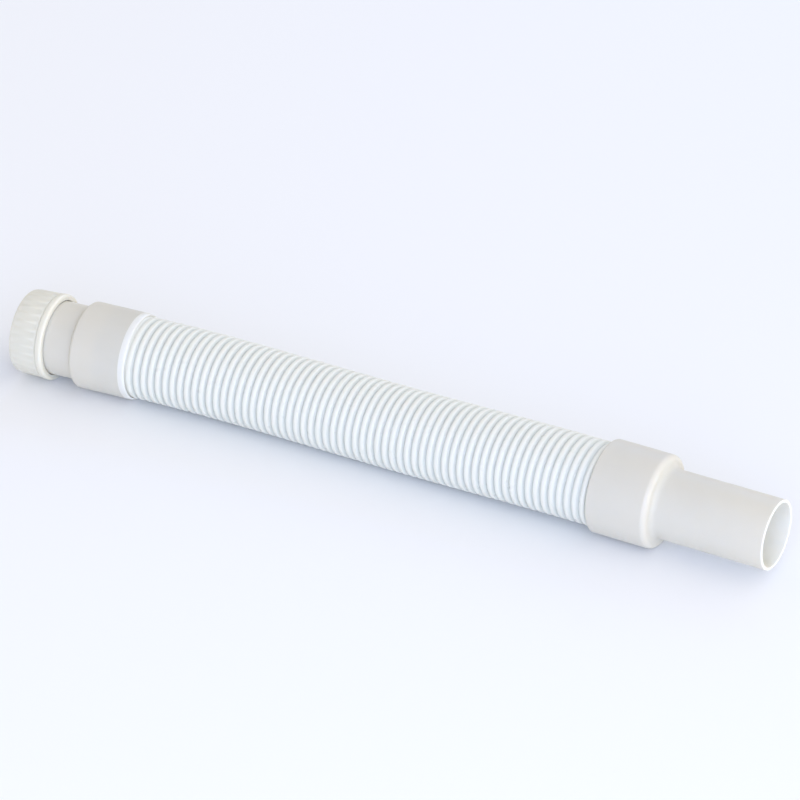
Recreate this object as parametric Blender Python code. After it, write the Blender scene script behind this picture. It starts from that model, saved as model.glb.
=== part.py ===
"""Flexible sink trap: a corrugated waste hose with a union nut on a flanged
tailpiece at its inlet and a smooth push-in spigot at its outlet.

Metres, +Z up. The part lies on z = 0. Its inlet end runs along +X, and the hose
bows a little in plan and sags until it touches the surface between its cuffs.
"""
import math

import bmesh
import bpy
import numpy as np
from mathutils import Vector

# Clearances
GLUE_GAP = 0.0003            # between faces that are glued or rest on each other
NUT_RUNNING_GAP = 0.0005     # round the neck in the nut's rear opening
NUT_THREAD_GAP = 0.00025     # round the flange inside the nut's thread

# Corrugated hose, with one left-hand helical groove
HOSE_DIAMETER = 0.0486
HOSE_LENGTH = 0.2972         # in sight between the cuffs
CUT_RIB_LENGTH = 0.0006      # in sight, on the -Y side, of the rib that the outlet cuff covers
RIB_COUNT = 62               # in sight on the -Y side
HIDDEN_RIBS = 2              # inside each cuff
RIB_PITCH = (HOSE_LENGTH - CUT_RIB_LENGTH) / RIB_COUNT
GROOVE_DEPTH = 0.0012
GROOVE_WIDTH = 0.0016        # between the shoulders of two ribs
RIB_CROWN = 0.0003           # how far a rib's middle stands above its shoulders
HOSE_WALL = 0.0015           # left under a groove
HOSE_BORE = HOSE_DIAMETER - 2.0 * (GROOVE_DEPTH + HOSE_WALL)
HOSE_SOCKET_DEPTH = 0.0195   # how deep the hose sits in a cuff

# Flanged tailpiece
NECK_DIAMETER = 0.0436
NECK_WALL = 0.0020
NECK_IN_SIGHT = 0.0180       # from the nut to the inlet cuff
NECK_SOCKET_DEPTH = 0.0150   # how deep the neck sits in the inlet cuff
FLANGE_LEDGE = 0.00105       # how far the flange stands out from the neck
FLANGE_DIAMETER = NECK_DIAMETER + 2.0 * FLANGE_LEDGE
FLANGE_THICKNESS = 0.0025

# The cuffs at both ends of the hose
INLET_CUFF_WALL = 0.0012     # round the hose
INLET_CUFF_DIAMETER = HOSE_DIAMETER + 2.0 * (GLUE_GAP + INLET_CUFF_WALL)
INLET_CUFF_EDGE = 0.0020     # rounding of the edge that faces the nut
OUTLET_CUFF_WALL = 0.0024    # round the hose
OUTLET_CUFF_DIAMETER = HOSE_DIAMETER + 2.0 * (GLUE_GAP + OUTLET_CUFF_WALL)
OUTLET_CUFF_EDGE = 0.0012    # rounding of the edge that faces the hose
STOP_THICKNESS = 0.0009      # of the wall that parts the inlet cuff's two sockets
STOP_LIP = 0.0015            # how far a socket's stop stands in from the socket's wall
INLET_CUFF_LENGTH = NECK_SOCKET_DEPTH + STOP_THICKNESS + HOSE_SOCKET_DEPTH + 2.0 * GLUE_GAP
INLET_RIM_LENGTH = 0.0026    # the rounded rim round the hose, along the cuff
INLET_RIM_SHARE = 0.7        # and across it, as a share of the cuff's wall
OUTLET_CUFF_LENGTH = 0.0366

# Outlet spigot, which pushes into a 40 mm waste pipe
SPIGOT_DIAMETER = 0.0400
SPIGOT_WALL = 0.0018
SPIGOT_LENGTH = 0.0668       # beyond the cuff's shoulder
SPIGOT_EDGE = 0.0004         # rounding of the open end
SHOULDER_ROUND_SHARE = 0.49  # of the step's height, in the cuff's corner towards the spigot
FILLET_SHARE = 0.46          # of the step's height, where the spigot leaves the shoulder
SHOULDER_HEIGHT = 0.5 * (OUTLET_CUFF_DIAMETER - SPIGOT_DIAMETER)
SHOULDER_ROUND = SHOULDER_ROUND_SHARE * SHOULDER_HEIGHT
SPIGOT_FILLET = FILLET_SHARE * SHOULDER_HEIGHT
SHOULDER_WALL = 0.0025       # of the step between the outlet cuff and the spigot

# Union nut, for a G 1 1/2 male thread
NUT_LENGTH = 0.0215
NUT_THREAD_BORE = FLANGE_DIAMETER + 2.0 * NUT_THREAD_GAP    # across the thread's crests
NUT_WALL = 0.0022            # from the thread's crests to the bottom between the grip ribs
NUT_DIAMETER = NUT_THREAD_BORE + 2.0 * NUT_WALL
NUT_CHAMFER = 0.0010
NUT_REAR_WALL = 0.0030
NUT_COLLAR_HEIGHT = 0.0005   # above the bottom between the grip ribs
NUT_COLLAR_WIDTH = 0.0030
NUT_COLLAR_EDGE = 0.0008
NUT_STEP_DEPTH = 0.0006      # the plain step in front of the collar, below the ribs' bottom
NUT_STEP_WIDTH = 0.0010
GRIP_RIB_COUNT = 32
GRIP_RIB_HEIGHT = 0.0003

# Sealing washer, of rubber, in front of the flange
WASHER_THICKNESS = 0.0030
WASHER_LIP = 0.0015          # how far the washer stands in from the tailpiece's bore
WASHER_BORE = NECK_DIAMETER - 2.0 * (NECK_WALL + WASHER_LIP)

# How the hose lies between its cuffs
PLAN_BEND = math.radians(4.6)   # how far the outlet is turned towards -Y
PLAN_BOW = math.radians(8.4)    # how much sharper the hose turns at its start than on average

# Facets
SIDES = 32                   # of the rigid round pieces
HOSE_SIDES = 20
ROUND_STEPS = 3              # of a rounded edge
BORE_STEPS = 10              # along the hose's bore
SMOOTH_ANGLE = math.radians(30.0)   # flatter edges than this are shaded smooth
ROUTE_STEP = 0.0005          # of the sums along the hose's centre line

# Worked out from the values above
NECK_START = NUT_LENGTH - NUT_REAR_WALL - GLUE_GAP - FLANGE_THICKNESS
INLET_CUFF_START = NUT_LENGTH + NECK_IN_SIGHT
HOSE_START = INLET_CUFF_START + INLET_CUFF_LENGTH
OUTLET_CUFF_START = HOSE_START + HOSE_LENGTH
SPIGOT_START = OUTLET_CUFF_START + OUTLET_CUFF_LENGTH
TOTAL_LENGTH = SPIGOT_START + SPIGOT_LENGTH
INLET_AXIS_HEIGHT = 0.5 * INLET_CUFF_DIAMETER * math.cos(math.pi / SIDES)
OUTLET_AXIS_HEIGHT = 0.5 * OUTLET_CUFF_DIAMETER * math.cos(math.pi / SIDES)
HOSE_AXIS_HEIGHT = 0.5 * HOSE_DIAMETER * math.cos(math.pi / HOSE_SIDES)

WHITE = (0.86, 0.86, 0.85)
HOSE_WHITE = (0.80, 0.85, 0.86)
RUBBER_BLACK = (0.03, 0.03, 0.03)


def clear_scene():
    """Removes what a new file holds."""
    for thing in list(bpy.data.objects):
        bpy.data.objects.remove(thing, do_unlink=True)


def make_material(name, colour, roughness):
    """One Principled material of a plain colour."""
    material = bpy.data.materials.new(name)
    material.use_nodes = True
    shader = material.node_tree.nodes["Principled BSDF"]
    shader.inputs["Base Color"].default_value = (*colour, 1.0)
    shader.inputs["Roughness"].default_value = roughness
    shader.inputs["Metallic"].default_value = 0.0
    return material


def route():
    """The centre line: distance from the nut's mouth, position and heading.

    It runs straight along +X to the hose, turns towards -Y along the hose, faster
    at first, dips by raised cosines until the hose lies on z = 0, and runs
    straight again through the outlet fitting.
    """
    count = int(math.ceil(TOTAL_LENGTH / ROUTE_STEP)) + 1
    distance = np.linspace(0.0, TOTAL_LENGTH, count)
    share = np.clip((distance - HOSE_START) / HOSE_LENGTH, 0.0, 1.0)
    heading = -share * (PLAN_BEND + PLAN_BOW * (1.0 - share))
    step = np.diff(distance)
    middle = 0.5 * (heading[1:] + heading[:-1])
    x = np.concatenate(([0.0], np.cumsum(np.cos(middle) * step)))
    y = np.concatenate(([0.0], np.cumsum(np.sin(middle) * step)))
    end_height = np.where(share < 0.5, INLET_AXIS_HEIGHT, OUTLET_AXIS_HEIGHT)
    dip = 0.5 * (1.0 - np.cos(2.0 * np.pi * share))
    z = end_height + (HOSE_AXIS_HEIGHT - end_height) * dip
    return distance, np.stack((x, y, z), axis=1), heading


ROUTE_DISTANCE, ROUTE_POINT, ROUTE_HEADING = route()
ROUTE_CLIMB = np.gradient(ROUTE_POINT[:, 2], ROUTE_DISTANCE)


def frame_at(distance):
    """Centre, sideways and upward directions of the cross-sections at distances."""
    centre = np.stack([np.interp(distance, ROUTE_DISTANCE, ROUTE_POINT[:, k]) for k in range(3)], axis=1)
    heading = np.interp(distance, ROUTE_DISTANCE, ROUTE_HEADING)
    climb = np.interp(distance, ROUTE_DISTANCE, ROUTE_CLIMB)
    along = np.stack((np.cos(heading), np.sin(heading), climb), axis=1)
    along /= np.linalg.norm(along, axis=1, keepdims=True)
    side = np.stack((-np.sin(heading), np.cos(heading), np.zeros_like(heading)), axis=1)
    return centre, side, np.cross(along, side)


def side_angles(sides):
    """Angles round the centre line, from the +Y side upwards, that leave a flat side down."""
    return 2.0 * np.pi * (np.arange(sides) + 0.5) / sides - 0.5 * np.pi


def points_about(distance, radius, angle):
    """Points at distances along the centre line and at radii and angles round it."""
    distance, radius, angle = np.broadcast_arrays(distance, radius, angle)
    centre, side, up = (part.reshape(*distance.shape, 3) for part in frame_at(distance.ravel()))
    return centre + side * (np.cos(angle) * radius)[..., None] + up * (np.sin(angle) * radius)[..., None]


def ring_points(distance, radius, sides, modulation=0.0):
    """Points of one ring for each distance and radius."""
    reach = np.asarray(radius)[:, None] + modulation
    return points_about(np.asarray(distance)[:, None], reach, side_angles(sides))


def finish(name, bm, start, material):
    """Makes a named object of a mesh, with its origin on the centre line at start."""
    origin = Vector(frame_at(np.array([start]))[0][0])
    bmesh.ops.translate(bm, verts=bm.verts, vec=-origin)
    bmesh.ops.recalc_face_normals(bm, faces=bm.faces)
    mesh = bpy.data.meshes.new(name)
    bm.to_mesh(mesh)
    bm.free()
    mesh.materials.append(material)
    mesh.shade_smooth()
    mesh.set_sharp_from_angle(angle=SMOOTH_ANGLE)
    thing = bpy.data.objects.new(name, mesh)
    thing.location = origin
    bpy.context.collection.objects.link(thing)
    return thing


def turned_tube(name, profile, sides, material):
    """A closed profile of (distance, radius) carried round the centre line."""
    distance, radius = np.array(profile).T
    points = ring_points(distance, radius, sides)
    bm = bmesh.new()
    rings = [[bm.verts.new(point) for point in ring] for ring in points]
    for ring, after in zip(rings, rings[1:] + rings[:1]):
        skin(bm, ring, after)
    return finish(name, bm, distance.min(), material)


def skin(bm, ring, after):
    """Quads between two rings of as many points."""
    for k, vert in enumerate(ring):
        following = (k + 1) % len(ring)
        bm.faces.new((vert, ring[following], after[following], after[k]))


def skin_open(bm, row, after):
    """Quads between two rows of as many points, which don't close round."""
    for k in range(len(row) - 1):
        bm.faces.new((row[k], row[k + 1], after[k + 1], after[k]))


def fan_between(bm, coarse, fine):
    """Triangles between a ring and one with a whole multiple of its points."""
    share = len(fine) // len(coarse)
    for k, vert in enumerate(coarse):
        first = k * share
        for j in range(share):
            bm.faces.new((vert, fine[(first + j) % len(fine)], fine[(first + j + 1) % len(fine)]))
        bm.faces.new((vert, fine[(first + share) % len(fine)], coarse[(k + 1) % len(coarse)]))


def rounded_corner(before, corner, after, back, on=None):
    """Points of a quarter ellipse that rounds a right-angled corner of a profile.

    It starts at the length back before the corner and ends at the length on after
    it, or at the same length where on isn't given.
    """
    corner = np.array(corner)
    inward = np.array(before) - corner
    onward = np.array(after) - corner
    inward = inward * back / np.linalg.norm(inward)
    onward = onward * (on or back) / np.linalg.norm(onward)
    centre = corner + inward + onward
    turns = np.linspace(0.0, 0.5 * math.pi, ROUND_STEPS + 1)
    return [tuple(centre - math.cos(turn) * onward - math.sin(turn) * inward) for turn in turns]


def make_coupling_nut(material):
    """Union nut: grip ribs, a step, a collar, and a bore for the thread."""
    crest = 0.5 * NUT_DIAMETER
    collar = crest + NUT_COLLAR_HEIGHT
    bore = 0.5 * NUT_THREAD_BORE
    opening = 0.5 * NECK_DIAMETER + NUT_RUNNING_GAP
    collar_start = NUT_LENGTH - NUT_COLLAR_WIDTH
    step_start = collar_start - NUT_STEP_WIDTH
    step = crest - NUT_STEP_DEPTH
    rib_sides = 4 * GRIP_RIB_COUNT
    rib = GRIP_RIB_HEIGHT * np.tile((0.0, 0.0, 1.0, 1.0), GRIP_RIB_COUNT)
    bm = bmesh.new()

    def plain_ring(distance, radius):
        return [bm.verts.new(p) for p in ring_points([distance], [radius], GRIP_RIB_COUNT)[0]]

    def ribbed_ring(distance, radius):
        return [bm.verts.new(p) for p in ring_points([distance], [radius], rib_sides, rib)[0]]

    mouth = plain_ring(0.0, crest - NUT_CHAMFER)
    ribs_front = ribbed_ring(NUT_CHAMFER, crest)
    ribs_rear = ribbed_ring(step_start, crest)
    fan_between(bm, mouth, ribs_front)
    skin(bm, ribs_front, ribs_rear)
    rear_profile = [(step_start, step), (collar_start, step), (collar_start, collar)]
    rear_profile += [(NUT_LENGTH - NUT_COLLAR_EDGE, collar), (NUT_LENGTH, collar - NUT_COLLAR_EDGE)]
    rear_profile += [(NUT_LENGTH, opening), (NUT_LENGTH - NUT_REAR_WALL, opening)]
    rear_profile += [(NUT_LENGTH - NUT_REAR_WALL, bore), (0.0, bore)]
    rings = [plain_ring(*place) for place in rear_profile]
    fan_between(bm, rings[0], ribs_rear)
    for ring, after in zip(rings, rings[1:] + [mouth]):
        skin(bm, ring, after)
    return finish("coupling_nut", bm, 0.0, material)


def make_sealing_washer(material):
    """Flat washer against the front of the flange."""
    rear = NECK_START - GLUE_GAP
    front = rear - WASHER_THICKNESS
    outer = 0.5 * FLANGE_DIAMETER
    inner = 0.5 * WASHER_BORE
    profile = [(front, inner), (front, outer), (rear, outer), (rear, inner)]
    return turned_tube("sealing_washer", profile, SIDES, material)


def make_flanged_tailpiece(material):
    """Short tube with the flange that the nut draws on."""
    outer = 0.5 * NECK_DIAMETER
    inner = outer - NECK_WALL
    flange = 0.5 * FLANGE_DIAMETER
    flange_rear = NECK_START + FLANGE_THICKNESS
    end = INLET_CUFF_START + NECK_SOCKET_DEPTH
    profile = [(NECK_START, inner), (NECK_START, flange), (flange_rear, flange), (flange_rear, outer)]
    profile += [(end, outer), (end, inner)]
    return turned_tube("flanged_tailpiece", profile, SIDES, material)


def make_inlet_cuff(material):
    """Sleeve with a socket for the tailpiece, a stop, and a socket for the hose."""
    start = INLET_CUFF_START
    end = start + INLET_CUFF_LENGTH
    outer = 0.5 * INLET_CUFF_DIAMETER
    neck_socket = 0.5 * NECK_DIAMETER + GLUE_GAP
    hose_socket = 0.5 * HOSE_DIAMETER + GLUE_GAP
    stop = 0.5 * NECK_DIAMETER - STOP_LIP
    neck_stop = start + NECK_SOCKET_DEPTH + GLUE_GAP
    hose_stop = end - HOSE_SOCKET_DEPTH - GLUE_GAP
    profile = [(start, neck_socket)]
    profile += rounded_corner((start, neck_socket), (start, outer), (end, outer), INLET_CUFF_EDGE)
    rim_height = INLET_RIM_SHARE * INLET_CUFF_WALL
    profile += rounded_corner((start, outer), (end, outer), (end, hose_socket), INLET_RIM_LENGTH, rim_height)
    profile += [(end, hose_socket), (hose_stop, hose_socket), (hose_stop, stop)]
    profile += [(neck_stop, stop), (neck_stop, neck_socket)]
    return turned_tube("inlet_cuff", profile, SIDES, material)


def make_corrugated_hose(material):
    """Hose with one helical groove between the cuffs and plain ends inside them.

    The outside is a strip whose rows follow the groove. Once round the hose, a row runs
    on into the row that lies one rib nearer to the inlet. The groove fades out in the
    cuffs, where a plain ring closes either end of the strip.
    """
    crest = 0.5 * HOSE_DIAMETER
    edge = 0.5 * GROOVE_WIDTH
    over_rib = np.array((0.0, edge, 0.5 * RIB_PITCH, RIB_PITCH - edge))
    depth_over_rib = np.array((GROOVE_DEPTH, RIB_CROWN, 0.0, RIB_CROWN))
    rib = len(over_rib)
    turns = np.arange(-HIDDEN_RIBS, RIB_COUNT + HIDDEN_RIBS)
    on_front = (HOSE_START + turns[:, None] * RIB_PITCH + over_rib).ravel()
    angle = side_angles(HOSE_SIDES)
    distance = on_front[:, None] - RIB_PITCH * (angle - math.pi) / (2.0 * math.pi)
    starts, ends = distance[:rib + 1, -1].max(), distance[-rib - 1, 0]
    fade = np.clip(np.minimum(distance - starts, ends - distance) / RIB_PITCH, 0.0, 1.0)
    depth = np.tile(depth_over_rib, len(turns))[:, None] * fade
    bm = bmesh.new()
    rows = [[bm.verts.new(point) for point in row] for row in points_about(distance, crest - depth, angle)]
    for j in range(len(rows) - 1):
        ring, after = rows[j], rows[j + 1]
        if j >= rib:
            ring, after = ring + rows[j - rib][:1], after + rows[j + 1 - rib][:1]
        skin_open(bm, ring, after)

    first = HOSE_START - HOSE_SOCKET_DEPTH
    last = OUTLET_CUFF_START + HOSE_SOCKET_DEPTH
    bore = 0.5 * HOSE_BORE
    inside = [(last + (first - last) * k / BORE_STEPS, bore) for k in range(BORE_STEPS + 1)]
    plain = [(last, crest)] + inside + [(first, crest)]
    rings = [[bm.verts.new(point) for point in ring_points([d], [r], HOSE_SIDES)[0]] for d, r in plain]
    for ring, after in zip(rings, rings[1:]):
        skin(bm, ring, after)
    head, tail = rings[-1], rings[0]
    skin_open(bm, head, rows[0])
    skin_open(bm, tail, rows[-1])
    step_up = [row[-1] for row in rows[:rib + 1]] + [rows[0][0]]
    step_down = [rows[-1][-1]] + [row[0] for row in rows[-rib - 1:]]
    bm.faces.new((head[-1], step_up[0], head[0]))
    bm.faces.new((tail[-1], step_down[-1], tail[0]))
    for pivot, chain in ((head[0], step_up), (tail[-1], step_down)):
        for vert, following in zip(chain, chain[1:]):
            bm.faces.new((pivot, vert, following))
    return finish("corrugated_hose", bm, first, material)


def make_outlet_spigot(material):
    """Cuff, rounded shoulder and spigot in one moulding."""
    start = OUTLET_CUFF_START
    end = TOTAL_LENGTH
    cuff = 0.5 * OUTLET_CUFF_DIAMETER
    spigot = 0.5 * SPIGOT_DIAMETER
    bore = spigot - SPIGOT_WALL
    socket = 0.5 * HOSE_DIAMETER + GLUE_GAP
    stop = start + HOSE_SOCKET_DEPTH + GLUE_GAP
    throat = SPIGOT_START - SHOULDER_ROUND - 0.5 * SHOULDER_WALL
    profile = [(start, socket)]
    profile += rounded_corner((start, socket), (start, cuff), (end, cuff), OUTLET_CUFF_EDGE)
    profile += rounded_corner((start, cuff), (SPIGOT_START, cuff), (SPIGOT_START, spigot), SHOULDER_ROUND)
    profile += rounded_corner((SPIGOT_START, cuff), (SPIGOT_START, spigot), (end, spigot), SPIGOT_FILLET)
    profile += [(end - SPIGOT_EDGE, spigot), (end, spigot - SPIGOT_EDGE), (end, bore)]
    profile += [(SPIGOT_START + SPIGOT_FILLET - SHOULDER_WALL, bore)]
    profile += [(SPIGOT_START - SHOULDER_WALL, bore + SPIGOT_FILLET), (throat, socket - STOP_LIP)]
    profile += [(stop, socket - STOP_LIP), (stop, socket)]
    return turned_tube("outlet_spigot", profile, SIDES, material)


def stand_on_origin(things):
    """Moves the whole part so that the middle of its underside is at the origin."""
    corners = [thing.location + vert.co for thing in things for vert in thing.data.vertices]
    low = Vector([min(corner[k] for corner in corners) for k in range(3)])
    high = Vector([max(corner[k] for corner in corners) for k in range(3)])
    for thing in things:
        thing.location -= Vector((0.5 * (low.x + high.x), 0.5 * (low.y + high.y), low.z))


def main():
    clear_scene()
    fitting = make_material("fitting_plastic", WHITE, 0.35)
    hose = make_material("hose_plastic", HOSE_WHITE, 0.30)
    rubber = make_material("washer_rubber", RUBBER_BLACK, 0.80)
    things = [make_coupling_nut(fitting), make_sealing_washer(rubber), make_flanged_tailpiece(fitting)]
    things += [make_inlet_cuff(fitting), make_corrugated_hose(hose), make_outlet_spigot(fitting)]
    stand_on_origin(things)


if __name__ == "__main__":
    main()
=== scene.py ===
"""Flexible sink trap: the surfaces, finishes, stage and camera of a corrugated waste hose
with a union nut on a flanged tailpiece at its inlet and a push-in spigot at its outlet.

Lengths are in metres. The hose lies on z = 0, and its inlet end runs along +X.
"""
import math

import bpy
import numpy as np
from bpy.props import FloatProperty, FloatVectorProperty, IntProperty, PointerProperty
from bpy.types import Operator, Panel, PropertyGroup
from mathutils import Matrix, Vector


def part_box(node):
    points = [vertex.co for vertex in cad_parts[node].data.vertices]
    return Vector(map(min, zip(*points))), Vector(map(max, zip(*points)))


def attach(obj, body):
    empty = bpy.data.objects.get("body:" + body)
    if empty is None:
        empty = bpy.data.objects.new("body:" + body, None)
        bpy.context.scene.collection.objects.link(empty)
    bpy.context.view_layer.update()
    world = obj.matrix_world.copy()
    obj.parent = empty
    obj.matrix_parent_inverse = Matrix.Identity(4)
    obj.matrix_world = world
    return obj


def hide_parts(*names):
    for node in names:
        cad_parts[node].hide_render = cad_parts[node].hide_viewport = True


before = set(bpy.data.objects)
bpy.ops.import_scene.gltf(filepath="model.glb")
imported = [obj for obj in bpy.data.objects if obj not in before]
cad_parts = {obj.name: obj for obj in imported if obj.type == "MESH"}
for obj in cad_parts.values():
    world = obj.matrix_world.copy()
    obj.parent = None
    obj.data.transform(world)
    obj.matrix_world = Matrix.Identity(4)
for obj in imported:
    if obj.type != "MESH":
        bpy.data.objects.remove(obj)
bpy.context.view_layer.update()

bl_info = {
    "name": "Flexible sink trap",
    "version": (1, 0, 0),
    "blender": (4, 5, 0),
    "location": "3D View > Sidebar > Sink trap",
    "description": "Makes the pieces, finishes, stage and camera of a flexible sink trap",
    "category": "Object",
}

HOSE_BODY = "hose_assembly"
NUT_BODY = "union_nut"

NUT_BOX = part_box("coupling_nut")
CUFF_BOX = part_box("inlet_cuff")
OUTLET_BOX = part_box("outlet_spigot")
NUT_MOUTH_X = NUT_BOX[0][0]                            # where distances along the part start
AXIS_Y = 0.5 * (CUFF_BOX[0][1] + CUFF_BOX[1][1])
INLET_AXIS_Z = 0.5 * (CUFF_BOX[0][2] + CUFF_BOX[1][2])
OUTLET_AXIS_Z = 0.5 * (OUTLET_BOX[0][2] + OUTLET_BOX[1][2])

SIDES = 144                  # facets round the smooth pieces
HOSE_SIDES = 72
HOSE_STEPS = 16              # along one rib
BORE_STEPS = 4               # along one wave of the hose's bore
NUT_SIDES_PER_RIB = 12
CORNER_STEPS = 5             # along a rounded corner
CORNER_PAD = 0.0003          # of flat surface kept beside a rounded corner
ROUTE_STEP = 0.0005          # of the sums along the centre line
LINE_POINTS = 40             # points at which the hose's centre line is worked out
THREAD_POINTS = 72           # along the nut's thread
HIDDEN_RIBS = 1.25           # in each cuff
MOUTH_SHARE = 0.45           # of the rounding at the nut's mouth along the nut, that it has across it

BORE_PAINTED_LIGHT, LIP_PAINTED_HIGHLIGHT = 0.75, 0.8        # shares of the pale white: painted light in the spigot's bore and a painted highlight on its lip and painted highlights on the inlet cuff's rim and the nut's collar
RIM_PAINTED_HIGHLIGHT, COLLAR_PAINTED_HIGHLIGHT = 0.85, 0.1      # and on the inlet cuff's rim and the nut's collar

NOISE_RANGE = (0.3, 0.7)     # of cloudy noise, where most of it lies
GRAIN_HEIGHT = 0.0002        # of the fine grain of a surface
PLASTIC_IOR = 1.49
SCATTER_SHARE = 0.6          # of the light that spreads inside the white plastics
SKY_DIM, SKY_BRIGHT = 0.46, 1.28       # strength of the surroundings towards -X and towards +X
FLOOR_DROP = 0.0001          # of the floor below the part
MIX_LOW, MIX_HIGH, MIX_RESULT = 6, 7, 2    # a Mix node's sockets for colours


def length(name, default, description):
    """A length in metres."""
    return FloatProperty(name=name, description=description, default=default, min=0.0, unit="LENGTH",
                         precision=5)


def colour(name, default, description):
    """A colour from 0 to 1, linear."""
    return FloatVectorProperty(name=name, description=description, default=default, size=3, min=0.0,
                               max=1.0, subtype="COLOR")


class HoseSizes(PropertyGroup):
    """Sizes of the corrugated hose and of the way it lies."""
    diameter: length("Diameter", 0.0485, "Outer diameter over the ribs")
    bore: length("Bore", 0.0432, "Inner diameter between the inner corrugations")
    ribs: IntProperty(name="Ribs", description="Ribs in sight on the -Y side", default=62, min=1)
    length: length("Length in sight", 0.2972, "Length between the cuffs")
    cut_rib: length("Cut rib", 0.0006, "Part in sight of the rib that the outlet cuff covers, at -Y")
    groove_depth: length("Groove depth", 0.0011, "Depth of a groove below the ribs")
    groove_width: length("Groove width", 0.0030, "Width of a groove at the ribs' tops")
    # the grey in and beside a groove is partly greyer plastic and partly painted shade
    shade_width: length("Shade width", 0.0046, "Width of the greyer plastic in and beside a groove")
    first_groove: FloatProperty(name="First groove", default=0.25, min=0.0, max=1.0, subtype="FACTOR",
                                description="Depth share of the groove at the inlet cuff's face")
    crown: length("Rib crown", 0.0003, "How far a rib's middle stands above its shoulders")
    inner_ripple: length("Inner ripple", 0.0004, "Depth of the waves along the bore")
    socket: length("Socket depth", 0.0195, "How deep the hose sits in a cuff")
    bend: FloatProperty(name="Bend", default=math.radians(4.6), subtype="ANGLE",
                        description="How far the outlet is turned in plan")
    bow: FloatProperty(name="Bow", default=math.radians(8.4), subtype="ANGLE",
                       description="How much sharper the hose turns at its start than on average")


class FittingSizes(PropertyGroup):
    """Sizes of the tailpiece, the cuffs and the spigot."""
    gap: length("Glue gap", 0.0001, "Gap between faces that are glued or rest on each other")
    neck_diameter: length("Neck diameter", 0.0436, "Outer diameter of the tailpiece")
    neck_wall: length("Neck wall", 0.0020, "Wall of the tailpiece")
    neck_in_sight: length("Neck in sight", 0.0180, "From the nut to the inlet cuff")
    neck_socket: length("Neck socket", 0.0150, "How deep the neck sits in the inlet cuff")
    flange_diameter: length("Flange diameter", 0.0457, "Diameter of the tailpiece's flange")
    flange_thickness: length("Flange thickness", 0.0025, "Thickness of the tailpiece's flange")
    washer_thickness: length("Washer thickness", 0.0030, "Thickness of the sealing washer")
    washer_bore: length("Washer bore", 0.0366, "Inner diameter of the sealing washer")
    inlet_diameter: length("Inlet cuff diameter", 0.0513, "Outer diameter of the inlet cuff")
    inlet_edge: length("Inlet cuff edge", 0.0020, "Rounding of the inlet cuff's edge towards the nut")
    inlet_cuff: length("Inlet cuff", 0.0360, "Length of the inlet cuff")
    rim_length: length("Rim length", 0.0036, "Rounding of the inlet cuff's rim, along the cuff")
    rim_height: length("Rim height", 0.00084, "Rounding of the inlet cuff's rim, across the cuff")
    outlet_diameter: length("Outlet cuff diameter", 0.0537, "Outer diameter of the outlet cuff")
    outlet_edge: length("Outlet cuff edge", 0.0012, "Rounding of the outlet cuff's edge towards the hose")
    outlet_cuff: length("Outlet cuff", 0.0366, "Length of the outlet cuff")
    stop_lip: length("Stop lip", 0.0015, "How far a socket's stop stands in")
    shoulder_round: length("Shoulder round", 0.0033, "Rounding of the outlet cuff's shoulder")
    shoulder_wall: length("Shoulder wall", 0.0025, "Wall between the outlet cuff and the spigot")
    spigot_diameter: length("Spigot diameter", 0.0400, "Outer diameter of the spigot")
    spigot_wall: length("Spigot wall", 0.0018, "Wall of the spigot")
    spigot_length: length("Spigot length", 0.0668, "Length of the spigot beyond the shoulder")
    spigot_fillet: length("Spigot fillet", 0.0031, "Fillet between the shoulder and the spigot")
    edge: length("Fine edge", 0.0004, "Rounding of the other edges")


class NutSizes(PropertyGroup):
    """Sizes of the union nut."""
    length: length("Length", 0.0215, "Length of the nut")
    diameter: length("Diameter", 0.0503, "Diameter at the bottom between the grip ribs")
    thread_bore: length("Thread bore", 0.0462, "Diameter across the thread's crests")
    thread_pitch: length("Thread pitch", 0.002309, "Pitch of a G 1 1/2 thread")
    thread_depth: length("Thread depth", 0.0010, "Depth of the thread")
    running_gap: length("Running gap", 0.0004, "Gap round the neck in the nut's rear opening")
    rear_wall: length("Rear wall", 0.0030, "Thickness of the nut's rear wall")
    chamfer: length("Mouth chamfer", 0.0020, "Rounding at the nut's mouth")
    taper: length("Taper", 0.0006, "How much less the radius is at the mouth than at the collar")
    collar_height: length("Collar height", 0.0005, "Height of the plain collar")
    collar_width: length("Collar width", 0.0036, "Width of the plain collar")
    collar_round: length("Collar round", 0.0014, "Rounding of the collar's rear edge")
    step_depth: length("Step depth", 0.0003, "Depth of the step in front of the collar")
    step_width: length("Step width", 0.0010, "Width of the step in front of the collar")
    rib_height: length("Grip rib height", 0.00022, "Height of the grip ribs")
    ribs: IntProperty(name="Grip ribs", description="Grip ribs round the nut", default=32, min=3)


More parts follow.
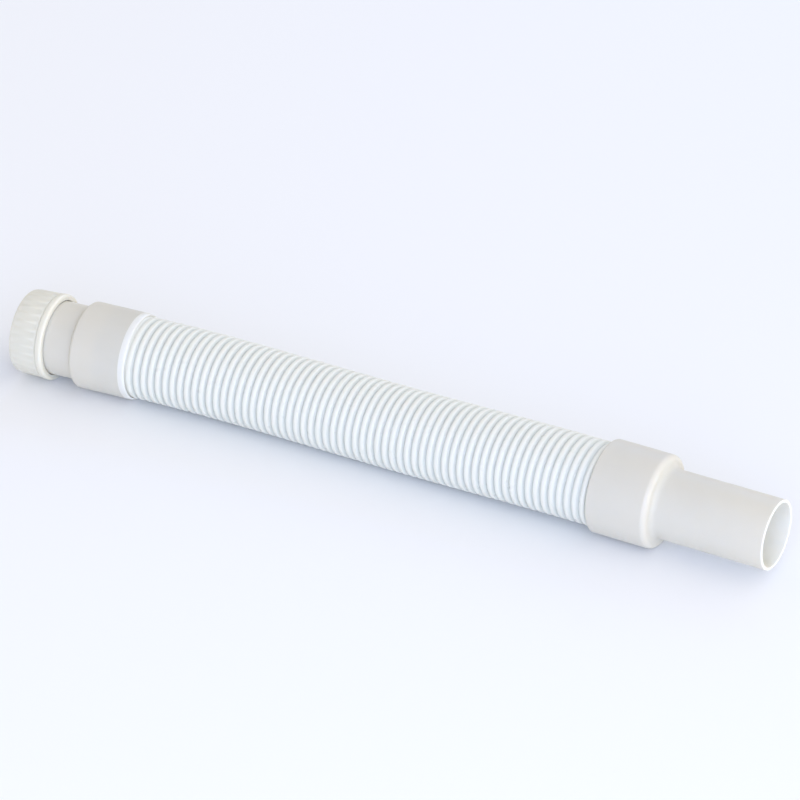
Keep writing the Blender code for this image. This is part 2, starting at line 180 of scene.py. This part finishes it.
class Finishes(PropertyGroup):
    """Colours of the plastics, the rubber and the stage."""
    fitting: colour("Fitting plastic", (0.70, 0.672, 0.58), "White of the moulded fittings")
    fitting_low: colour("Fitting plastic, low", (0.68, 0.655, 0.57), "Slightly greyer white that clouds it")
    nut: colour("Nut plastic", (0.775, 0.745, 0.625), "White of the union nut")
    nut_low: colour("Nut plastic, low", (0.755, 0.73, 0.615), "Slightly greyer white that clouds it")
    # painted light: this white is painted on rims, lips and the collar as painted highlights and in the
    # spigot's bore as painted light
    pale: colour("Pale plastic", (0.90, 0.89, 0.80), "White of thin lips and of the bore")
    hose: colour("Hose plastic", (0.84, 0.842, 0.745), "Cooler white of the hose")
    # partly the greyer plastic of the grooves and partly painted shade in them
    groove: colour("Groove", (0.67, 0.70, 0.645), "Grey of the hose's grooves")
    rubber: colour("Washer rubber", (0.022, 0.022, 0.024), "Black of the sealing washer")
    bloom: colour("Rubber bloom", (0.07, 0.07, 0.075), "Grey bloom on the rubber")
    floor: colour("Floor", (0.93, 0.94, 0.94), "Pale floor")
    daylight: colour("Daylight", (0.42, 0.57, 1.0), "Colour of the window at the right")
    skylight: colour("Skylight", (0.20, 0.45, 1.0), "Colour of the window at the back")
    lamplight: colour("Lamplight", (1.0, 0.98, 0.95), "Colour of the low lamp beyond the spigot")
    sky: colour("Surroundings", (1.0, 0.965, 0.94), "Colour of the light from all round")


def places(scene):
    """Distances along the centre line, from the nut's mouth, at which the pieces start."""
    hose, fitting, nut = scene.trap_hose, scene.trap_fittings, scene.trap_nut
    at = {"flange": nut.length - nut.rear_wall - fitting.gap - fitting.flange_thickness}
    at["inlet_cuff"] = nut.length + fitting.neck_in_sight
    at["hose"] = at["inlet_cuff"] + fitting.inlet_cuff
    at["outlet_cuff"] = at["hose"] + hose.length
    at["spigot"] = at["outlet_cuff"] + fitting.outlet_cuff
    at["end"] = at["spigot"] + fitting.spigot_length
    return at


def route(scene):
    """The centre line: distances, points and headings.

    It runs straight along +X to the hose, whose heading is -t * (bend + bow * (1 - t))
    for the share t of the hose, and whose height dips by raised cosines until the ribs
    touch z = 0. The fitting at the outlet is straight again.
    """
    at = places(scene)
    hose = scene.trap_hose
    distance = np.linspace(0.0, at["end"], math.ceil(at["end"] / ROUTE_STEP) + 1)
    share = np.clip((distance - at["hose"]) / hose.length, 0.0, 1.0)
    heading = -share * (hose.bend + hose.bow * (1.0 - share))
    middle = 0.5 * (heading[1:] + heading[:-1])
    steps = np.diff(distance)
    x = NUT_MOUTH_X + np.concatenate(([0.0], np.cumsum(np.cos(middle) * steps)))
    y = AXIS_Y + np.concatenate(([0.0], np.cumsum(np.sin(middle) * steps)))
    end_height = np.where(share < 0.5, INLET_AXIS_Z, OUTLET_AXIS_Z)
    dip = 0.5 * (1.0 - np.cos(2.0 * np.pi * share))
    z = end_height + (0.5 * hose.diameter - end_height) * dip
    return distance, np.stack((x, y, z), axis=1), heading


def cross_sections(scene, distance):
    """Centre, sideways and upward directions of the cross-sections at distances."""
    along, points, headings = route(scene)
    centre = np.stack([np.interp(distance, along, points[:, k]) for k in range(3)], axis=1)
    heading = np.interp(distance, along, headings)
    climb = np.interp(distance, along, np.gradient(points[:, 2], along))
    forward = np.stack((np.cos(heading), np.sin(heading), climb), axis=1)
    forward /= np.linalg.norm(forward, axis=1, keepdims=True)
    side = np.stack((-np.sin(heading), np.cos(heading), np.zeros_like(heading)), axis=1)
    return centre, side, np.cross(forward, side)


def rounded_profile(corners):
    """A closed profile of (distance, radius) points with its corners rounded.

    Each corner P is (distance, radius, back, on). Its sides lead back to B = P + back
    and on to A = P + on, and it becomes the part of an ellipse
    B + A - P - cos(t) * (A - P) - sin(t) * (B - P), for t from 0 to a right angle. A
    short pad of each side is kept beside it, so that the flats stay flat in shading.
    """
    corners = np.array(corners)
    point, back, on = corners[:, :2], corners[:, 2:3], corners[:, 3:4]
    after = np.roll(point, -1, axis=0) - point
    side = np.linalg.norm(after, axis=1, keepdims=True)
    spare = side - on - np.roll(back, -1, axis=0)
    if spare.min() < 0.0:
        raise ValueError("a corner's rounding is longer than its side")
    pad = np.minimum(CORNER_PAD, 0.3 * spare)
    after = after / side
    before = -np.roll(after, 1, axis=0)
    turn = np.linspace(0.0, 0.5 * np.pi, CORNER_STEPS + 1)[None, :, None]
    inward, onward = (before * back)[:, None, :], (after * on)[:, None, :]
    arc = (point[:, None, :] + inward + onward) - np.cos(turn) * onward - np.sin(turn) * inward
    first = (point + before * (back + np.roll(pad, 1, axis=0)))[:, None, :]
    last = (point + after * (on + pad))[:, None, :]
    return np.concatenate((first, arc, last), axis=1).reshape(-1, 2).T


def tube(context, name, distance, radius, sides, shade=None):
    """A closed profile carried round the centre line, as a mesh piece.

    The surface is P(i, k) = C(d_i) + r_ik * (side * cos(a_k) + up * sin(a_k)) for the
    profile's distances d_i and the angles a_k, and both parameters run round to their
    start. The UV map holds metres round and along the profile, and the attribute shade
    the share of a material's second colour.
    """
    rings = len(distance)
    radius = np.broadcast_to(radius.reshape(rings, -1), (rings, sides))
    angle = 2.0 * np.pi * np.arange(sides) / sides
    centre, side, up = cross_sections(context.scene, distance)
    across = side[:, None, :] * (np.cos(angle) * radius)[:, :, None]
    upward = up[:, None, :] * (np.sin(angle) * radius)[:, :, None]
    point = centre[:, None, :] + across + upward

    i, k = np.meshgrid(np.arange(rings), np.arange(sides), indexing="ij")
    i_next, k_next = (i + 1) % rings, (k + 1) % sides
    this_ring, next_ring = i * sides, i_next * sides
    face = np.stack((this_ring + k, this_ring + k_next, next_ring + k_next, next_ring + k), axis=-1)
    run = np.concatenate(([0.0], np.cumsum(np.hypot(np.diff(distance), np.diff(radius[:, 0])))))
    run = np.append(run, run[-1])
    around = np.max(radius) * 2.0 * np.pi * np.arange(sides + 1) / sides
    uv = np.stack((
        np.stack((around[k], around[k + 1], around[k + 1], around[k]), axis=-1),
        np.stack((run[i], run[i], run[i + 1], run[i + 1]), axis=-1)), axis=-1)
    face, uv = face.reshape(-1, 4), uv.reshape(-1, 4, 2)
    corner = point.reshape(-1, 3)[face]
    volume = np.einsum("ij,ij->", corner[:, 0], np.cross(corner[:, 1], corner[:, 2]))
    volume += np.einsum("ij,ij->", corner[:, 0], np.cross(corner[:, 2], corner[:, 3]))
    if volume < 0.0:
        face, uv = face[:, ::-1], uv[:, ::-1]

    mesh = bpy.data.meshes.new(name)
    mesh.from_pydata(point.reshape(-1, 3), [], face)
    layer = mesh.uv_layers.new(name="metres")
    layer.data.foreach_set("uv", uv.astype(np.float32).ravel())
    if shade is not None:
        marks = mesh.attributes.new("shade", "FLOAT", "POINT")
        shade = np.broadcast_to(shade, (rings, sides)).astype(np.float32)
        marks.data.foreach_set("value", shade.ravel())
    mesh.shade_smooth()
    mesh.update()
    piece = bpy.data.objects.new(name, mesh)
    context.scene.collection.objects.link(piece)
    return piece


def shader_of(name):
    """A new material, its node tree and its Principled shader."""
    material = bpy.data.materials.new(name)
    material.use_nodes = True
    return material, material.node_tree, material.node_tree.nodes["Principled BSDF"]


def node(tree, kind, **values):
    """A new node with some of its settings or input values."""
    made = tree.nodes.new(kind)
    for key, value in values.items():
        if key in made.inputs:
            made.inputs[key].default_value = value
        else:
            setattr(made, key, value)
    return made


def noise(tree, where, scale, detail=3.0, roughness=0.5):
    """Cloudy noise of a scale per metre."""
    made = node(tree, "ShaderNodeTexNoise", Scale=scale, Detail=detail, Roughness=roughness)
    tree.links.new(where, made.inputs["Vector"])
    return made.outputs["Fac"]


def spread(tree, value, low, high, out_low, out_high):
    """A value mapped from one range to another, and held at its ends."""
    made = tree.nodes.new("ShaderNodeMapRange")
    for socket, number in zip(("From Min", "From Max", "To Min", "To Max"), (low, high, out_low, out_high)):
        made.inputs[socket].default_value = number
    tree.links.new(value, made.inputs["Value"])
    return made.outputs["Result"]


def blend_colours(tree, share, low, high):
    """A colour between two, which may be colours or sockets."""
    made = node(tree, "ShaderNodeMix", data_type="RGBA")
    tree.links.new(share, made.inputs["Factor"])
    for index, value in ((MIX_LOW, low), (MIX_HIGH, high)):
        if isinstance(value, bpy.types.NodeSocket):
            tree.links.new(value, made.inputs[index])
        else:
            made.inputs[index].default_value = (*value, 1.0)
    return made.outputs[MIX_RESULT]


def bump(tree, shader, height, strength, distance):
    """Height detail on the shader's normal."""
    made = node(tree, "ShaderNodeBump", Strength=strength, Distance=distance)
    tree.links.new(height, made.inputs["Height"])
    tree.links.new(made.outputs["Normal"], shader.inputs["Normal"])


def satin_skin(tree, shader, marks, roughness, grain, relief):
    """The skin of moulded plastic: a roughness that wanders between two values, as it does
    from handling, and a fine grain. marks and grain are noises."""
    tree.links.new(spread(tree, marks, *NOISE_RANGE, *roughness), shader.inputs["Roughness"])
    bump(tree, shader, grain, relief, GRAIN_HEIGHT)
    shader.inputs["IOR"].default_value = PLASTIC_IOR


def translucence(shader, tint, depth):
    """Light that spreads inside white plastic, to a depth in metres."""
    shader.inputs["Subsurface Weight"].default_value = SCATTER_SHARE
    shader.inputs["Subsurface Radius"].default_value = tint
    shader.inputs["Subsurface Scale"].default_value = depth


def moulded_plastic(name, low, high, pale):
    """White moulded plastic: faint clouds between two whites, painted highlights and painted light
    in the pale white where the attribute shade says so, a fine satin skin and small handling marks."""
    if name in bpy.data.materials:
        return bpy.data.materials[name]
    material, tree, shader = shader_of(name)
    where = tree.nodes.new("ShaderNodeTexCoord").outputs["Object"]
    clouds = spread(tree, noise(tree, where, scale=38.0), *NOISE_RANGE, 0.0, 1.0)
    # the share of painted highlight and painted light in the pale white, from the attribute shade
    painted_lit = node(tree, "ShaderNodeAttribute", attribute_name="shade").outputs["Fac"]
    clouded_white = blend_colours(tree, clouds, low, high)
    tree.links.new(blend_colours(tree, painted_lit, clouded_white, pale), shader.inputs["Base Color"])
    marks = noise(tree, where, scale=130.0, detail=5.0)
    grain = noise(tree, where, scale=900.0, detail=2.0)
    satin_skin(tree, shader, marks, roughness=(0.30, 0.42), grain=grain, relief=0.06)
    translucence(shader, tint=(1.0, 0.9, 0.8), depth=0.004)
    return material


def fitting_plastic(scene):
    """The plastic of the tailpiece, the cuffs and the spigot."""
    looks = scene.trap_finishes
    return moulded_plastic("fitting_plastic_satin", looks.fitting_low, looks.fitting, looks.pale)


def hose_plastic(scene):
    """Cooler white plastic of the hose, greyer in its grooves where the attribute shade says so, partly
    from greyer plastic and partly from painted shade.
    """
    looks = scene.trap_finishes
    material, tree, shader = shader_of("hose_plastic_ribbed")
    where = tree.nodes.new("ShaderNodeTexCoord").outputs["Object"]
    depth = node(tree, "ShaderNodeAttribute", attribute_name="shade").outputs["Fac"]
    tree.links.new(blend_colours(tree, depth, looks.hose, looks.groove), shader.inputs["Base Color"])
    marks = noise(tree, where, scale=160.0, detail=4.0)
    grain = noise(tree, where, scale=1100.0, detail=2.0)
    satin_skin(tree, shader, marks, roughness=(0.26, 0.40), grain=grain, relief=0.05)
    translucence(shader, tint=(0.9, 1.0, 1.0), depth=0.003)
    return material


def washer_rubber(scene):
    """Black rubber with a grey bloom and a fine grain."""
    looks = scene.trap_finishes
    material, tree, shader = shader_of("washer_rubber_bloomed")
    where = tree.nodes.new("ShaderNodeTexCoord").outputs["Object"]
    patches = noise(tree, where, scale=220.0, detail=6.0, roughness=0.6)
    cover = spread(tree, patches, 0.45, 0.75, 0.0, 1.0)
    tree.links.new(blend_colours(tree, cover, looks.rubber, looks.bloom), shader.inputs["Base Color"])
    tree.links.new(spread(tree, cover, 0.0, 1.0, 0.62, 0.88), shader.inputs["Roughness"])
    bump(tree, shader, noise(tree, where, scale=2400.0, detail=3.0), strength=0.25, distance=GRAIN_HEIGHT)
    return material


def dress(piece, material, slot, body, *nodes):
    """Gives a piece its material and its body, and hides the CAD nodes it stands for. The slot is not used.
    """
    piece.data.materials.append(material)
    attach(piece, body)
    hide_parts(*nodes)


class TRAP_OT_camera(Operator):
    """Sets up the camera at the photograph's viewing angle"""
    bl_idname = "trap.camera"
    bl_label = "Camera"

    def execute(self, context):
        azimuth, elevation = 0.42254, 0.55275     # radians, from -Y towards +X and up
        reach, focal = 2.400, 4225.7              # metres, and pixels of a square image
        sensor, width = 36.0, 800                 # millimetres, and pixels
        aim_along_hose, aim_height = 0.145, 0.0266
        aim_x, aim_y = 370.67, 409.76             # the pixel at which the aim is seen
        aim = Vector((NUT_MOUTH_X + places(context.scene)["hose"] + aim_along_hose, AXIS_Y, aim_height))
        level = math.cos(elevation)
        right = Vector((math.cos(azimuth), math.sin(azimuth), 0.0))
        back = Vector((math.sin(azimuth) * level, -math.cos(azimuth) * level, math.sin(elevation)))
        up = back.cross(right)
        pixel, middle = reach / focal, 0.5 * width
        place = aim + back * reach - right * ((aim_x - middle) * pixel) + up * ((aim_y - middle) * pixel)
        data = bpy.data.cameras.new("camera")
        data.sensor_width = sensor
        data.lens = focal * sensor / width
        data.clip_start, data.clip_end = 0.05, 50.0
        camera = bpy.data.objects.new("camera", data)
        camera.matrix_world = Matrix.Translation(place) @ Matrix((right, up, back)).transposed().to_4x4()
        context.scene.collection.objects.link(camera)
        context.scene.camera = camera
        return {"FINISHED"}


def area_light(context, name, place, size, power, tint):
    """A square soft light in watts, turned to the part's middle and out of the camera's sight."""
    data = bpy.data.lights.new(name, "AREA")
    data.shape = "SQUARE"
    data.size = size
    data.energy = power
    data.color = tint
    light = bpy.data.objects.new(name, data)
    light.location = place
    light.rotation_euler = (-light.location).to_track_quat("-Z", "Y").to_euler()
    light.visible_camera = False
    context.scene.collection.objects.link(light)


class TRAP_OT_stage(Operator):
    """Makes the pale floor, the soft lights and the surroundings, brighter towards +X"""
    bl_idname = "trap.stage"
    bl_label = "Stage"

    def execute(self, context):
        looks = context.scene.trap_finishes
        context.scene.view_settings.view_transform = "Standard"
        half = 12.0
        mesh = bpy.data.meshes.new("floor")
        corners = [(-half, -half, 0.0), (half, -half, 0.0), (half, half, 0.0), (-half, half, 0.0)]
        mesh.from_pydata(corners, [], [(0, 1, 2, 3)])
        floor = bpy.data.objects.new("floor", mesh)
        floor.location.z = -FLOOR_DROP
        context.scene.collection.objects.link(floor)
        material, _, shader = shader_of("floor_pale")
        shader.inputs["Base Color"].default_value = (*looks.floor, 1.0)
        shader.inputs["Roughness"].default_value = 0.6
        mesh.materials.append(material)

        area_light(context, "window_right", place=(0.8, -1.6, 0.85), size=1.3, power=22.0,
                   tint=looks.daylight)
        area_light(context, "window_back", place=(0.0, 2.0, 1.2), size=1.6, power=9.3,
                   tint=looks.skylight)
        area_light(context, "lamp_beyond_spigot", place=(2.6, -0.45, 0.22), size=0.4, power=10.0,
                   tint=looks.lamplight)
        world = bpy.data.worlds.new("surroundings")
        world.use_nodes = True
        tree = world.node_tree
        background = tree.nodes["Background"]
        background.inputs["Color"].default_value = (*looks.sky, 1.0)
        split = tree.nodes.new("ShaderNodeSeparateXYZ")
        tree.links.new(tree.nodes.new("ShaderNodeTexCoord").outputs["Generated"], split.inputs["Vector"])
        strength = spread(tree, split.outputs["X"], -1.0, 1.0, SKY_DIM, SKY_BRIGHT)
        tree.links.new(strength, background.inputs["Strength"])
        context.scene.world = world
        return {"FINISHED"}


class TRAP_OT_hose(Operator):
    bl_idname = "trap.hose"
    bl_label = "Corrugated hose"

    def execute(self, context):
        """The outside is r(d, a) = crest - w * (crown * (1 - 2q)^2 + depth * g(q)). The phase
        p = (d - h) / pitch + (a - pi) / (2 pi) from the hose's start h makes one left-hand
        helix, q is its distance from the nearest whole number, and g is a raised cosine over
        the groove's width, as the grey of greyer plastic and painted shade is over its own. The bore is
        r(d, a) = bore + ripple * w * (1 - cos(2 pi p)) / 2, and w fades both out in the cuffs.
        The groove comes up to its depth along the first rib."""
        scene = context.scene
        hose, at = scene.trap_hose, places(scene)
        crest, bore = 0.5 * hose.diameter, 0.5 * hose.bore
        pitch = (hose.length - hose.cut_rib) / hose.ribs
        first, last = at["hose"] - hose.socket, at["outlet_cuff"] + hose.socket
        start, end = at["hose"] - HIDDEN_RIBS * pitch, at["outlet_cuff"] + HIDDEN_RIBS * pitch
        waves = round((end - start) / pitch)
        outside = np.linspace(start, end, HOSE_STEPS * waves + 1)
        inside = np.linspace(end, start, BORE_STEPS * waves + 1)
        distance = np.concatenate(((first,), outside, (last, last), inside, (first,)))
        angle = 2.0 * np.pi * np.arange(HOSE_SIDES) / HOSE_SIDES
        turn = (distance[:, None] - at["hose"]) / pitch + (angle - np.pi) / (2.0 * np.pi)
        fade = np.clip(np.minimum(distance - start, end - distance) / pitch, 0.0, 1.0)[:, None]
        near = np.abs(turn - np.round(turn))
        emerge = fade * np.clip(hose.first_groove + (distance - at["hose"]) / pitch, 0.0, 1.0)[:, None]
        # groove is the depth profile; shade is the grey in and beside it, partly greyer plastic and partly
        # painted shade
        groove, shade = (
            emerge * 0.5 * (1.0 + np.cos(np.pi * np.minimum(near * pitch / (0.5 * width), 1.0)))
            for width in (hose.groove_width, hose.shade_width))
        wave = fade * 0.5 * (1.0 - np.cos(2.0 * np.pi * turn))
        outer = crest - fade * hose.crown * (1.0 - 2.0 * near) ** 2 - hose.groove_depth * groove
        is_outer = (np.arange(len(distance)) < len(outside) + 2)[:, None]
        radius = np.where(is_outer, outer, bore + hose.inner_ripple * wave)
        piece = tube(context, "ribbed_hose", distance, radius, HOSE_SIDES, np.where(is_outer, shade, 0.0))
        dress(piece, hose_plastic(scene), "hose_plastic", HOSE_BODY, "corrugated_hose")
        line, side, up = cross_sections(scene, np.linspace(first, last, LINE_POINTS))
        return {"FINISHED"}


class TRAP_OT_outlet(Operator):
    """Makes the outlet fitting: cuff, rounded shoulder and spigot in one moulding"""
    bl_idname = "trap.outlet"
    bl_label = "Outlet fitting"

    def execute(self, context):
        """A rounded profile turned round the centre line. The spigot's bore has painted light and its lip a
        painted highlight.
        """
        scene = context.scene
        sizes, at = scene.trap_fittings, places(scene)
        edge = sizes.edge
        start, end, shoulder = at["outlet_cuff"], at["end"], at["spigot"]
        cuff, spigot = 0.5 * sizes.outlet_diameter, 0.5 * sizes.spigot_diameter
        bore, socket = spigot - sizes.spigot_wall, 0.5 * scene.trap_hose.diameter + sizes.gap
        stop = start + scene.trap_hose.socket + sizes.gap
        throat = shoulder - sizes.shoulder_round - 0.5 * sizes.shoulder_wall
        corners = [
            (start, socket, edge, edge), (start, cuff, sizes.outlet_edge, sizes.outlet_edge),
            (shoulder, cuff, sizes.shoulder_round, sizes.shoulder_round),
            (shoulder, spigot, sizes.spigot_fillet, sizes.spigot_fillet),
            (end, spigot, edge, edge), (end, bore, edge, edge),
            (shoulder + sizes.spigot_fillet - sizes.shoulder_wall, bore, edge, edge),
            (shoulder - sizes.shoulder_wall, bore + sizes.spigot_fillet, edge, edge),
            (throat, socket - sizes.stop_lip, edge, edge), (stop, socket - sizes.stop_lip, edge, edge),
            (stop, socket, edge, edge)]
        distance, radius = rounded_profile(corners)
        # painted light in the spigot's bore and a painted highlight on its lip, as shares of the pale white
        inside = radius < spigot - 0.5 * sizes.spigot_wall
        lip = distance > end - edge - 0.5 * CORNER_PAD
        pale = np.where(inside, BORE_PAINTED_LIGHT, np.where(lip, LIP_PAINTED_HIGHLIGHT, 0.0))
        piece = tube(context, "outlet_fitting", distance, radius, SIDES, pale[:, None])
        dress(piece, fitting_plastic(scene), "fitting_plastic", HOSE_BODY, "outlet_spigot")
        return {"FINISHED"}


class TRAP_OT_inlet_cuff(Operator):
    """Makes the sleeve that joins the tailpiece and the hose"""
    bl_idname = "trap.inlet_cuff"
    bl_label = "Inlet cuff"

    def execute(self, context):
        """A rounded profile turned round the centre line. The rim round the hose has a painted highlight.
        """
        scene = context.scene
        sizes, at = scene.trap_fittings, places(scene)
        edge = sizes.edge
        start, end = at["inlet_cuff"], at["hose"]
        cuff = 0.5 * sizes.inlet_diameter
        neck, hose = 0.5 * sizes.neck_diameter + sizes.gap, 0.5 * scene.trap_hose.diameter + sizes.gap
        stop = 0.5 * sizes.neck_diameter - sizes.stop_lip
        neck_stop = start + sizes.neck_socket + sizes.gap
        hose_stop = end - scene.trap_hose.socket - sizes.gap
        corners = [
            (start, neck, edge, edge), (start, cuff, sizes.inlet_edge, sizes.inlet_edge),
            (end, cuff, sizes.rim_length, sizes.rim_height), (end, hose, 0.5 * edge, edge),
            (hose_stop, hose, edge, edge), (hose_stop, stop, 0.5 * edge, 0.5 * edge),
            (neck_stop, stop, 0.5 * edge, 0.5 * edge), (neck_stop, neck, edge, edge)]
        distance, radius = rounded_profile(corners)
        # a painted highlight on the rim round the hose
        rim = (distance > end - sizes.rim_length - 0.5 * CORNER_PAD) & (radius > hose + 0.1 * edge)
        piece = tube(context, "inlet_sleeve", distance, radius, SIDES, RIM_PAINTED_HIGHLIGHT * rim[:, None])
        dress(piece, fitting_plastic(scene), "fitting_plastic", HOSE_BODY, "inlet_cuff")
        return {"FINISHED"}


class TRAP_OT_tailpiece(Operator):
    """Makes the flanged tailpiece and the rubber washer in front of it"""
    bl_idname = "trap.tailpiece"
    bl_label = "Tailpiece and washer"

    def execute(self, context):
        """Rounded profiles turned round the centre line."""
        scene = context.scene
        sizes, at = scene.trap_fittings, places(scene)
        edge = sizes.edge
        neck, flange = 0.5 * sizes.neck_diameter, 0.5 * sizes.flange_diameter
        bore = neck - sizes.neck_wall
        front, back = at["flange"], at["flange"] + sizes.flange_thickness
        end = at["inlet_cuff"] + sizes.neck_socket
        corners = [
            (front, bore, edge, edge), (front, flange, edge, edge), (back, flange, edge, edge),
            (back, neck, edge, edge), (end, neck, edge, edge), (end, bore, edge, edge)]
        piece = tube(context, "flanged_neck", *rounded_profile(corners), SIDES)
        dress(piece, fitting_plastic(scene), "fitting_plastic", HOSE_BODY, "flanged_tailpiece")

        rear = front - sizes.gap
        face, hole = rear - sizes.washer_thickness, 0.5 * sizes.washer_bore
        corners = [
            (face, hole, edge, edge), (face, flange, edge, edge), (rear, flange, edge, edge),
            (rear, hole, edge, edge)]
        piece = tube(context, "rubber_washer", *rounded_profile(corners), SIDES)
        dress(piece, washer_rubber(scene), "washer_rubber", HOSE_BODY, "sealing_washer")
        return {"FINISHED"}


class TRAP_OT_nut(Operator):
    """Makes the union nut with its grip ribs and its inside thread"""
    bl_idname = "trap.nut"
    bl_label = "Union nut"

    def execute(self, context):
        """A rounded profile turned round the axis. The grip adds h * c^4 to the radius,
        where c is the cosine of half the ribs' number times the angle. The right-hand
        thread cuts w * depth * (1 - cos(2 pi p)) / 2 into the bore for the phase
        p = distance / pitch - angle / (2 pi), and w fades it in and out. The collar has
        a faint painted highlight."""
        scene = context.scene
        nut, sizes = scene.trap_nut, scene.trap_fittings
        edge = sizes.edge
        body = 0.5 * nut.diameter
        collar, step = body + nut.collar_height, body - nut.step_depth
        bore, opening = 0.5 * nut.thread_bore, 0.5 * sizes.neck_diameter + nut.running_gap
        collar_start = nut.length - nut.collar_width
        step_start = collar_start - nut.step_width
        floor = nut.length - nut.rear_wall
        sharp, fine = 0.3 * edge, 0.2 * nut.step_width
        corners = [
            (0.0, body - nut.taper, MOUTH_SHARE * nut.chamfer, nut.chamfer),
            (step_start, body, sharp, sharp), (step_start, step, sharp, fine),
            (collar_start, step, fine, fine),
            (collar_start, collar, edge, edge), (nut.length, collar, nut.collar_round, nut.collar_round),
            (nut.length, opening, edge, edge), (floor, opening, edge, 0.5 * edge),
            (floor, bore, 0.5 * edge, edge), (0.0, bore, edge, edge)]
        distance, radius = rounded_profile(corners)
        per_corner = CORNER_STEPS + 3                   # points of the profile
        grip = np.zeros(len(distance))
        grip[per_corner - 1:per_corner + 1] = 1.0       # the flat between the first two corners
        inner = 9 * per_corner                          # the flat of the bore ends at this point
        threaded = np.linspace(distance[inner - 1], distance[inner], THREAD_POINTS + 2)[1:-1]
        run_in = np.minimum(threaded - threaded.min(), threaded.max() - threaded) / nut.thread_pitch
        fade = np.insert(np.zeros(len(distance)), inner, np.clip(run_in, 0.0, 1.0))
        distance = np.insert(distance, inner, threaded)
        radius = np.insert(radius, inner, np.full(THREAD_POINTS, bore))
        grip = np.insert(grip, inner, np.zeros(THREAD_POINTS))
        sides = nut.ribs * NUT_SIDES_PER_RIB
        angle = 2.0 * np.pi * np.arange(sides) / sides
        teeth = np.cos(0.5 * nut.ribs * angle) ** 4
        phase = distance[:, None] / nut.thread_pitch - angle[None, :] / (2.0 * np.pi)
        thread = 0.5 * nut.thread_depth * (1.0 - np.cos(2.0 * np.pi * phase))
        surface = radius[:, None] + nut.rib_height * grip[:, None] * teeth + fade[:, None] * thread
        # a faint painted highlight on the collar
        band = (distance > collar_start) & (radius > step + 0.5 * edge)
        piece = tube(context, "ribbed_nut", distance, surface, sides, COLLAR_PAINTED_HIGHLIGHT * band[:, None])
        looks = scene.trap_finishes
        material = moulded_plastic("nut_plastic_satin", looks.nut_low, looks.nut, looks.pale)
        dress(piece, material, "fitting_plastic", NUT_BODY, "coupling_nut")
        return {"FINISHED"}


class TRAP_PT_panel(Panel):
    """Sizes, colours and makers of the sink trap"""
    bl_label = "Flexible sink trap"
    bl_idname = "TRAP_PT_panel"
    bl_space_type = "VIEW_3D"
    bl_region_type = "UI"
    bl_category = "Sink trap"

    def draw(self, context):
        for group_name in GROUPS:
            group = getattr(context.scene, group_name)
            box = self.layout.box()
            for name in group.__annotations__:
                box.prop(group, name)
        for maker in MAKERS:
            self.layout.operator(maker.bl_idname)


GROUPS = {
    "trap_hose": HoseSizes,
    "trap_fittings": FittingSizes,
    "trap_nut": NutSizes,
    "trap_finishes": Finishes,
}
MAKERS = (TRAP_OT_camera, TRAP_OT_outlet, TRAP_OT_hose, TRAP_OT_inlet_cuff, TRAP_OT_tailpiece,
          TRAP_OT_nut, TRAP_OT_stage)


def register():
    """Registers the groups, the operators and the panel."""
    for name, group in GROUPS.items():
        bpy.utils.register_class(group)
        setattr(bpy.types.Scene, name, PointerProperty(type=group))
    for maker in (*MAKERS, TRAP_PT_panel):
        bpy.utils.register_class(maker)


def unregister():
    """Removes what register added."""
    for maker in (TRAP_PT_panel, *reversed(MAKERS)):
        bpy.utils.unregister_class(maker)
    for name, group in reversed(GROUPS.items()):
        delattr(bpy.types.Scene, name)
        bpy.utils.unregister_class(group)


def main():
    """Makes the camera, the pieces and the stage."""
    register()
    bpy.ops.trap.camera()
    bpy.ops.trap.outlet()
    bpy.ops.trap.hose()
    bpy.ops.trap.inlet_cuff()
    bpy.ops.trap.tailpiece()
    bpy.ops.trap.nut()
    bpy.ops.trap.stage()


if __name__ == "__main__":
    main()
